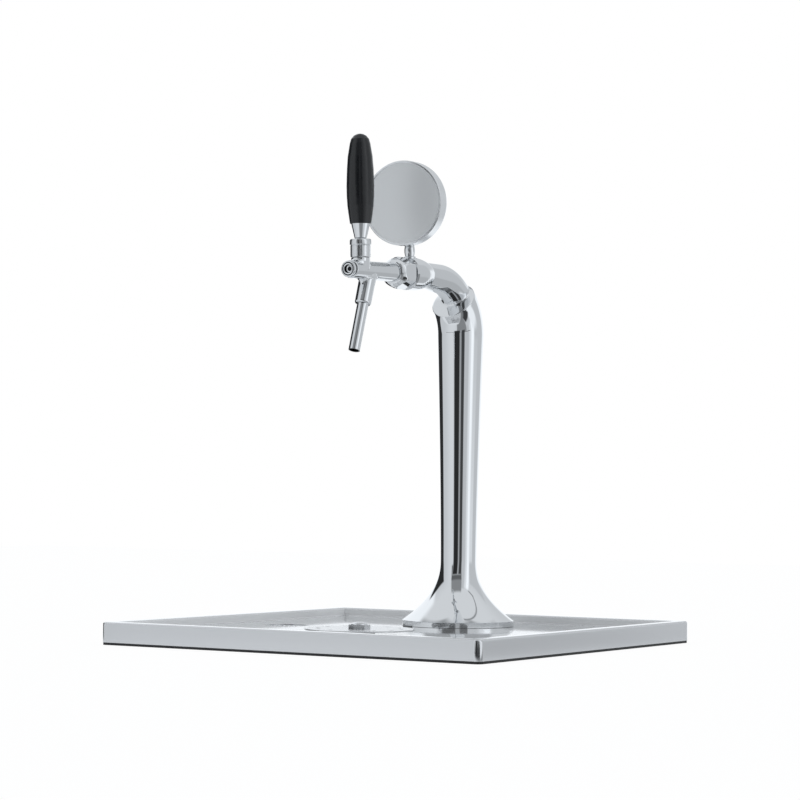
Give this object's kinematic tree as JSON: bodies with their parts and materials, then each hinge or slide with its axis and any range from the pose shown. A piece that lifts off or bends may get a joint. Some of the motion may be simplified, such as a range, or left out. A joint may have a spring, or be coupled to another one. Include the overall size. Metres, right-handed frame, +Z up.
{
  "type": "draft beer dispenser",
  "caption": "Cobra-style draft beer tower with a lever tap and a round badge, on a square steel drip tray with a glass rinser.",
  "frame": {"origin": "on the counter, under the middle of the drip tray", "axes": "+Z up; the tap points along -Y; +X to the right when seen from the tap's side"},
  "size_m": [0.45, 0.45, 0.5284],
  "materials": {
    "steel": "polished stainless sheet",
    "brushed": "satin stainless",
    "badge_face": "fine brushed, left bare",
    "chrome": "mirror chrome plate",
    "brass": "machined",
    "rubber": "matt moulded",
    "white_plastic": "matt moulded",
    "black_plastic": "satin gloss black"
  },
  "bodies": {
    "stand": {"tray_pan": "steel", "hold_down_studs": "steel", "hold_down_washers": "steel", "hold_down_nuts": "steel", "rinser_spring": "steel", "drain_body": "brushed", "drain_strainer": "brushed", "medallion_plate": "badge_face", "tower_foot": "chrome", "tower_body": "chrome", "neck_collar": "chrome", "coupling_nut": "chrome", "tap_body": "chrome", "front_cap": "chrome", "bonnet": "chrome", "spout": "chrome", "stem_nut": "chrome", "medallion_stem": "chrome", "medallion_case": "chrome", "medallion_ring": "chrome", "drain_locknut": "brass", "rinser_locknut": "brass", "inlet_fitting": "brass", "shank": "brass", "edge_seal": "rubber", "support_pads": "rubber", "base_gasket": "rubber", "shank_seal": "rubber", "cap_seal": "rubber", "spout_seal": "rubber", "rinser_body": "white_plastic", "beer_line": "white_plastic", "lever_seat": "white_plastic"},
    "rinser_press": {"rinser_stem": "brushed", "rinser_seal": "rubber", "rinser_disc": "brushed", "rinser_nozzle": "brushed"},
    "tap_lever": {"lever": "brushed", "handle_ferrule": "chrome", "handle_insert": "brass", "handle_grip": "black_plastic"},
    "tap_plunger": {"plunger": "brushed", "valve_seal": "rubber", "guide_ring": "rubber"}
  },
  "joints": [
    {"name": "lever_tilt", "type": "hinge", "parent": "stand", "child": "tap_lever", "pos_m": [0, -0.08962, 0.41306], "axis": [1, 0, 0], "range_deg": [-8, 20]},
    {"name": "plunger_slide", "type": "slide", "parent": "stand", "child": "tap_plunger", "axis": [0, 0.9995, 0.0314], "range_m": [-0.00345, 0.0086]},
    {"name": "rinser_press_slide", "type": "slide", "parent": "stand", "child": "rinser_press", "axis": [0, 0, -1], "range_m": [0, 0.0028], "stiffness_N_per_m": 1500, "springref_m": -0.003, "deforming": ["rinser_spring"]}
  ],
  "couplings": [
    {"joint": "plunger_slide", "follows": "lever_tilt", "m_per_rad": 0.0245}
  ]
}
